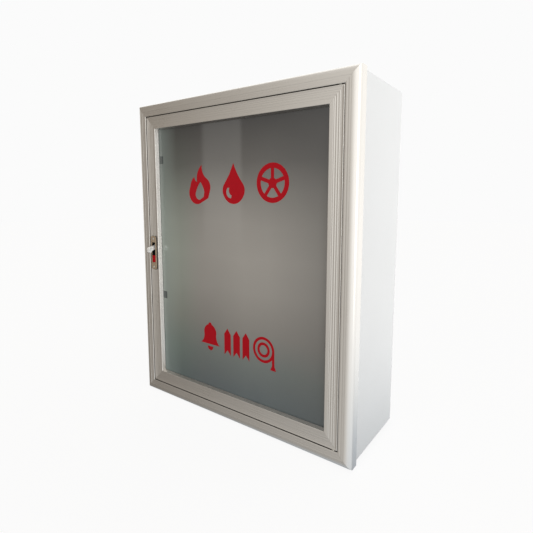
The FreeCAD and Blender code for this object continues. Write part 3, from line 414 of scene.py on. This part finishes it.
finish = {
    "box_paint": powder_coat("box_paint", srgb(232, 232, 230)),
    "bracket_paint": powder_coat("bracket_paint", srgb(222, 222, 220)),
    "level_aluminium": anodised("level_aluminium", 0),
    "upright_aluminium": anodised("upright_aluminium", 2),
    "key_aluminium": plated("key_aluminium", (0.60, 0.60, 0.60, 1), 0.42),
    "plated_steel": plated("plated_steel", (0.62, 0.61, 0.58, 1), 0.30),
    "black_rubber": rubber("black_rubber"),
    "nylon": moulded("nylon", srgb(226, 222, 208), 0.45),
    "frosted_glass": frosted_glass(),
    "dark_steel": plated("dark_steel", (0.05, 0.05, 0.05, 1), 0.45),
    "red_vinyl": vinyl("red_vinyl", srgb(190, 0, 24)),
    "lock_metal": moulded("lock_metal", srgb(166, 147, 122), 0.42),
    "lock_black": moulded("lock_black", (0.012, 0.012, 0.012, 1), 0.4),
    "lock_chrome": plated("lock_chrome", (1.0, 0.985, 0.96, 1), 0.30, 0.45),
    "lock_red": moulded("lock_red", srgb(184, 0, 18), 0.5, Specular_IOR_Level=0.15),
    "red_casting": enamel("red_casting", srgb(168, 22, 18)),
    "wheel_red": enamel("wheel_red", srgb(178, 26, 20)),
    "valve_brass": plated("valve_brass", (0.62, 0.44, 0.18, 1), 0.28),
    "nozzle_brass": plated("nozzle_brass", (0.66, 0.48, 0.20, 1), 0.24),
    "fitting_aluminium": plated("fitting_aluminium", (0.62, 0.62, 0.61, 1), 0.38),
    "hose_fabric": woven("hose_fabric", srgb(226, 220, 204), 2600.0),
}

LEVEL_BARS = ("frame_top", "frame_bottom", "door_rail_top", "door_rail_bottom")
slot_of = {row["node"]: row["material_slot"] for row in frame["record"]["subparts"]}
for name, node in nodes.items():
    slot = slot_of[name]
    if slot == "frame_aluminium":
        slot = "level_aluminium" if name in LEVEL_BARS else "upright_aluminium"
    node.data.materials.clear()
    node.data.materials.append(finish[slot])


# ---------------------------------------------------------------- the rolled hose
HOSE_FOLD = 0.0056            # the flat hose, both walls together
LAYER_PITCH = 0.0059
ROLL_CORE = 0.040             # radius
STEPS_PER_TURN = 72
TAIL_STEPS = 30               # along each straight end
ENDS_ROOM = 6.2 * MM          # for the top layer, between the roll and the solid's sides
DEPTH_ROOM = 1 * MM           # for the layers' shifts, in front and behind


def flat_profile(half):
    """Closed outline of a flattened tube as (across, out) pairs; half is half its width."""
    round_off = HOSE_FOLD / 2 * 0.96
    profile = []
    for side, first in ((1, -90), (-1, 90)):
        for step in range(7):
            angle = math.radians(first + 30 * step)
            across = side * (half - round_off) + round_off * math.cos(angle)
            profile.append((across, round_off * math.sin(angle)))
        for share in (0.6, 0.2, -0.2, -0.6):
            across = side * share * half
            profile.append((across, side * round_off * (0.86 + 0.05 * abs(share))))
    return profile


def swept(profile, middle, path):
    """Vertices, UVs and faces of a profile swept along (place, outward direction, shift in depth)."""
    around = len(profile)
    vertices, uvs, faces = [], [], []
    run = 0.0
    for index, (place, out, shift) in enumerate(path):
        if index:
            run += (place - path[index - 1][0]).length
        for across, thick in profile:
            vertices.append(place + out * thick + Vector((0, middle + across + shift, 0)))
            uvs.append((run, across))
        if index:
            base = (index - 1) * around
            for corner in range(around):
                after = (corner + 1) % around
                faces.append((base + corner, base + around + corner, base + around + after, base + after))
    last = (len(path) - 1) * around
    faces.append(tuple(range(around)))
    faces.append(tuple(last + corner for corner in reversed(range(around))))
    return vertices, uvs, faces


def hose_piece(name, path):
    """Flat hose along a path, shown in place of the CAD hose."""
    low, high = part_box("fire_hose")
    profile = flat_profile((high.y - low.y) / 2 - DEPTH_ROOM)
    vertices, uvs, faces = swept(profile, (low.y + high.y) / 2, path)
    mesh = bpy.data.meshes.new(name)
    mesh.from_pydata([tuple(vertex) for vertex in vertices], [], faces)
    layer = mesh.uv_layers.new(name="weave")
    for loop in mesh.loops:
        layer.data[loop.index].uv = uvs[loop.vertex_index]
    for polygon in mesh.polygons:
        polygon.use_smooth = True
    mesh.validate()
    hose = bpy.data.objects.new(name, mesh)
    bpy.context.scene.collection.objects.link(hose)
    hose.data.materials.append(finish["hose_fabric"])
    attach(hose, "cabinet")
    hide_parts("fire_hose")


def on_roll(centre, radius, angle, shift=0.0):
    """Point of a path around the roll's centre."""
    out = Vector((math.cos(angle), 0, math.sin(angle)))
    return centre + out * radius, out, shift


def roll_path(centre, outer):
    """Spiral from the core to the outer radius; its layers are slightly out of line in depth."""
    turns = int((outer - ROLL_CORE) / LAYER_PITCH)
    steps = turns * STEPS_PER_TURN
    growth = outer - HOSE_FOLD / 2 - ROLL_CORE
    path = []
    for step in range(steps + 1):
        angle = 2 * math.pi * step / STEPS_PER_TURN
        shift = 0.9 * MM * math.sin(5.3 * angle / turns) + 0.6 * MM * math.sin(angle * 0.37)
        path.append(on_roll(centre, ROLL_CORE + growth * step / steps, angle, shift))
    return path


def layers_out(angle):
    """Layers between the roll's end and the top layer, which steps over that end on the right."""
    step_down = max(0.0, 1 - 3 * angle / math.pi) ** 2
    return step_down + (1 - step_down) * (angle / (2 * math.pi) + 0.03)


def ends_path(centre, outer, bottom):
    """Up from the right-hand coupling, over the roll and down to the left-hand one."""
    steps = STEPS_PER_TURN // 2
    path = []
    for step in range(steps + 1):
        angle = math.pi * step / steps
        path.append(on_roll(centre, outer - HOSE_FOLD / 2 + LAYER_PITCH * layers_out(angle), angle))
    right, left = path[0], path[-1]
    for step in range(1, TAIL_STEPS + 1):
        share = step / TAIL_STEPS
        drop = Vector((0, 0, (bottom - centre.z) * share))
        shift = 0.8 * MM * math.sin(7 * share)
        path.insert(0, (right[0] + drop, right[1], shift))
        path.append((left[0] + drop, left[1], shift))
    return path


def build_hose():
    """A tight roll, with both ends of the hose coming off its outer layer down to the couplings."""
    low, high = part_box("fire_hose")
    outer = (high.x - low.x) / 2 - ENDS_ROOM
    centre = Vector(((low.x + high.x) / 2, 0, high.z - outer))
    hose_piece("hose_roll", roll_path(centre, outer))
    hose_piece("hose_ends", ends_path(centre, outer, low.z))


build_hose()


# ---------------------------------------------------------------- floor, light and camera
AMBIENT = 1.01        # light from the studio walls on matt surfaces
MIRROR = 2.2          # brightest part of the studio that glossy surfaces mirror
BACKDROP = 0.965      # what the camera sees behind the object
FLOOR_DROP = 0.004    # floor below the cabinet
FLOOR_REACH = 9.0
FLOOR_GLOW = 0.895    # most of the floor's brightness, the same lit or in shadow
FLOOR_PAINT = 0.10    # the rest, which shadows take away
CARD_DROP = 0.006
CARD_SPAN = (-0.8, -0.7, 0.78, 0.4)    # left, front, right, back
CARD_GLOW = 0.08      # darker than the studio, so it shades the lower surfaces


def level_sheet(name, spans, height, glow, glow_colour, paint, **inputs):
    """Level rectangle; spans are left, front, right and back, paint is how much light it reflects."""
    left, front, right, back = spans
    corners = [(left, front, height), (right, front, height), (right, back, height), (left, back, height)]
    mesh = bpy.data.meshes.new(name)
    mesh.from_pydata(corners, [], [(0, 1, 2, 3)])
    sheet = bpy.data.objects.new(name, mesh)
    bpy.context.scene.collection.objects.link(sheet)
    material, _, surface = shader(name, (paint, paint, paint, 1), 1.0, **inputs)
    surface.inputs["Emission Color"].default_value = glow_colour
    surface.inputs["Emission Strength"].default_value = glow
    sheet.data.materials.append(material)
    sheet.visible_glossy = False
    return sheet


def build_floor():
    """Pale floor just under the cabinet; it shows a soft shadow but doesn't tint the metal."""
    spans = (-FLOOR_REACH, -FLOOR_REACH, FLOOR_REACH, FLOOR_REACH)
    floor = level_sheet("floor", spans, cad_box[0].z - FLOOR_DROP, FLOOR_GLOW, (1, 1, 1, 1), FLOOR_PAINT,
                        Specular_IOR_Level=0.0)
    floor.visible_diffuse = False
    floor.visible_transmission = False


def build_shade_card():
    """Dim card under the floor that only matt surfaces see: they darken a little towards the floor."""
    card = level_sheet("shade_card", CARD_SPAN, cad_box[0].z - CARD_DROP, CARD_GLOW,
                       (0.78, 0.88, 1.0, 1), 0.0)
    card.visible_camera = False
    card.visible_shadow = False


def matt_studio(tree, sideways, upward):
    """What matt surfaces see: dim and warm to the left, bright to the right, cool below."""
    sides = ramp(tree, sideways, (0.0, (0.56, 0.54, 0.51, 1)), (0.12, (0.48, 0.45, 0.41, 1)),
                 (0.25, (0.62, 0.585, 0.54, 1)), (0.55, (0.66, 0.64, 0.61, 1)),
                 (0.78, (1.0, 0.99, 0.98, 1)), (1.0, (0.97, 0.98, 1.0, 1)))
    heights = ramp(tree, upward, (0.0, (0.54, 0.57, 0.62, 1)), (0.36, (0.64, 0.665, 0.70, 1)),
                   (0.52, (0.98, 0.98, 0.97, 1)), (1.0, (1, 1, 1, 1)))
    return mix(tree, 1.0, sides, heights, "MULTIPLY")


def mirrored_studio(tree, direction, sideways, upward):
    """What glossy surfaces mirror: one studio ahead, one to the right and one behind."""
    sides = ramp(tree, sideways, (0.0, (0.42, 0.40, 0.375, 1)), (0.04, (0.17, 0.152, 0.132, 1)),
                 (0.10, (0.16, 0.140, 0.119, 1)), (0.28, (0.45, 0.437, 0.42, 1)),
                 (0.44, (0.60, 0.59, 0.575, 1)), (0.70, (0.82, 0.815, 0.81, 1)),
                 (1.0, (0.84, 0.84, 0.84, 1)))
    heights = ramp(tree, upward, (0.0, (0.58, 0.59, 0.60, 1)), (0.30, (0.73, 0.73, 0.73, 1)),
                   (0.50, (0.93, 0.93, 0.93, 1)), (0.62, (1, 1, 1, 1)), (1.0, (0.94, 0.94, 0.94, 1)))
    # the cabinet's rounded right edge mirrors this one, and its right side the next
    right = ramp(tree, upward, (0.20, (0.40, 0.445, 0.50, 1)), (0.24, (0.50, 0.54, 0.59, 1)),
                 (0.27, (0.63, 0.66, 0.69, 1)), (0.31, (0.75, 0.765, 0.78, 1)),
                 (0.42, (0.84, 0.84, 0.845, 1)), (0.62, (0.84, 0.84, 0.84, 1)))
    behind = ramp(tree, upward, (0.18, (0.13, 0.15, 0.18, 1)), (0.24, (0.32, 0.36, 0.41, 1)),
                  (0.28, (0.58, 0.61, 0.64, 1)), (0.32, (0.74, 0.755, 0.77, 1)),
                  (0.42, (0.80, 0.80, 0.80, 1)), (0.62, (0.76, 0.76, 0.755, 1)))
    rightward = combine(tree, "ADD", combine(tree, "MULTIPLY", direction["X"], 0.8),
                        combine(tree, "MULTIPLY", direction["Y"], 0.6))
    seen = mix(tree, 1.0, sides, heights, "MULTIPLY")
    seen = mix(tree, progress(tree, rightward, -0.6, -0.1), seen, right)
    return mix(tree, progress(tree, direction["Y"], 0.1, 0.4), seen, behind)


def build_world():
    """Pale studio with a bright right side and a dim warm left side. The camera sees near-white."""
    world = bpy.data.worlds.new("studio")
    bpy.context.scene.world = world
    world.use_nodes = True
    tree = world.node_tree
    direction = split(tree, tree.nodes.new("ShaderNodeTexCoord").outputs["Generated"])

    def share(axis):
        return combine(tree, "ADD", combine(tree, "MULTIPLY", direction[axis], 0.5), 0.5)

    path = tree.nodes.new("ShaderNodeLightPath")
    camera_ray = path.outputs["Is Camera Ray"]
    mirror_ray = path.outputs["Is Glossy Ray"]
    matt = matt_studio(tree, share("X"), share("Z"))
    mirror = mirrored_studio(tree, direction, share("X"), share("Z"))
    unseen = mix(tree, mirror_ray, matt, mirror)
    colour = mix(tree, camera_ray, unseen, (BACKDROP, BACKDROP, BACKDROP, 1))
    strength = mix(tree, camera_ray, span(tree, mirror_ray, AMBIENT, MIRROR), (1, 1, 1, 1))
    background = tree.nodes["Background"]
    tree.links.new(colour, background.inputs["Color"])
    tree.links.new(strength, background.inputs["Strength"])


def build_key_light():
    """Large soft lamp far out to the right, at about the cabinet's height."""
    place = Vector((4.2, -2.9, 0.5))
    target = Vector((0.1, -0.15, 0))
    data = bpy.data.lights.new("key", "AREA")
    data.shape = "RECTANGLE"
    data.size = 2.4
    data.size_y = 3.2
    data.energy = 43
    lamp = bpy.data.objects.new("key", data)
    lamp.location = place
    lamp.rotation_mode = "QUATERNION"
    lamp.rotation_quaternion = (target - place).to_track_quat("-Z", "Y")
    bpy.context.scene.collection.objects.link(lamp)


def build_camera():
    """Camera to the right of the cabinet and above its middle, looking left and a little down."""
    place = Vector((0.644, -0.9525, 0.159))
    yaw = math.radians(-35.18)
    pitch = math.radians(-6.90)
    roll = math.radians(0.16)
    forward = Vector((math.sin(yaw) * math.cos(pitch), math.cos(yaw) * math.cos(pitch), math.sin(pitch)))
    level = Vector((math.cos(yaw), -math.sin(yaw), 0))
    upright = level.cross(forward)
    right = level * math.cos(roll) + upright * math.sin(roll)
    up = upright * math.cos(roll) - level * math.sin(roll)
    data = bpy.data.cameras.new("camera")
    data.sensor_width = 36.0
    data.lens = 27.44
    data.shift_x = -0.0207
    data.shift_y = -0.0396
    camera = bpy.data.objects.new("camera", data)
    camera.matrix_world = Matrix((right, up, -forward)).transposed().to_4x4()
    camera.location = place
    bpy.context.scene.collection.objects.link(camera)
    bpy.context.scene.camera = camera


build_floor()
build_shade_card()
build_world()
build_key_light()
build_camera()
bpy.context.scene.view_settings.view_transform = "Standard"
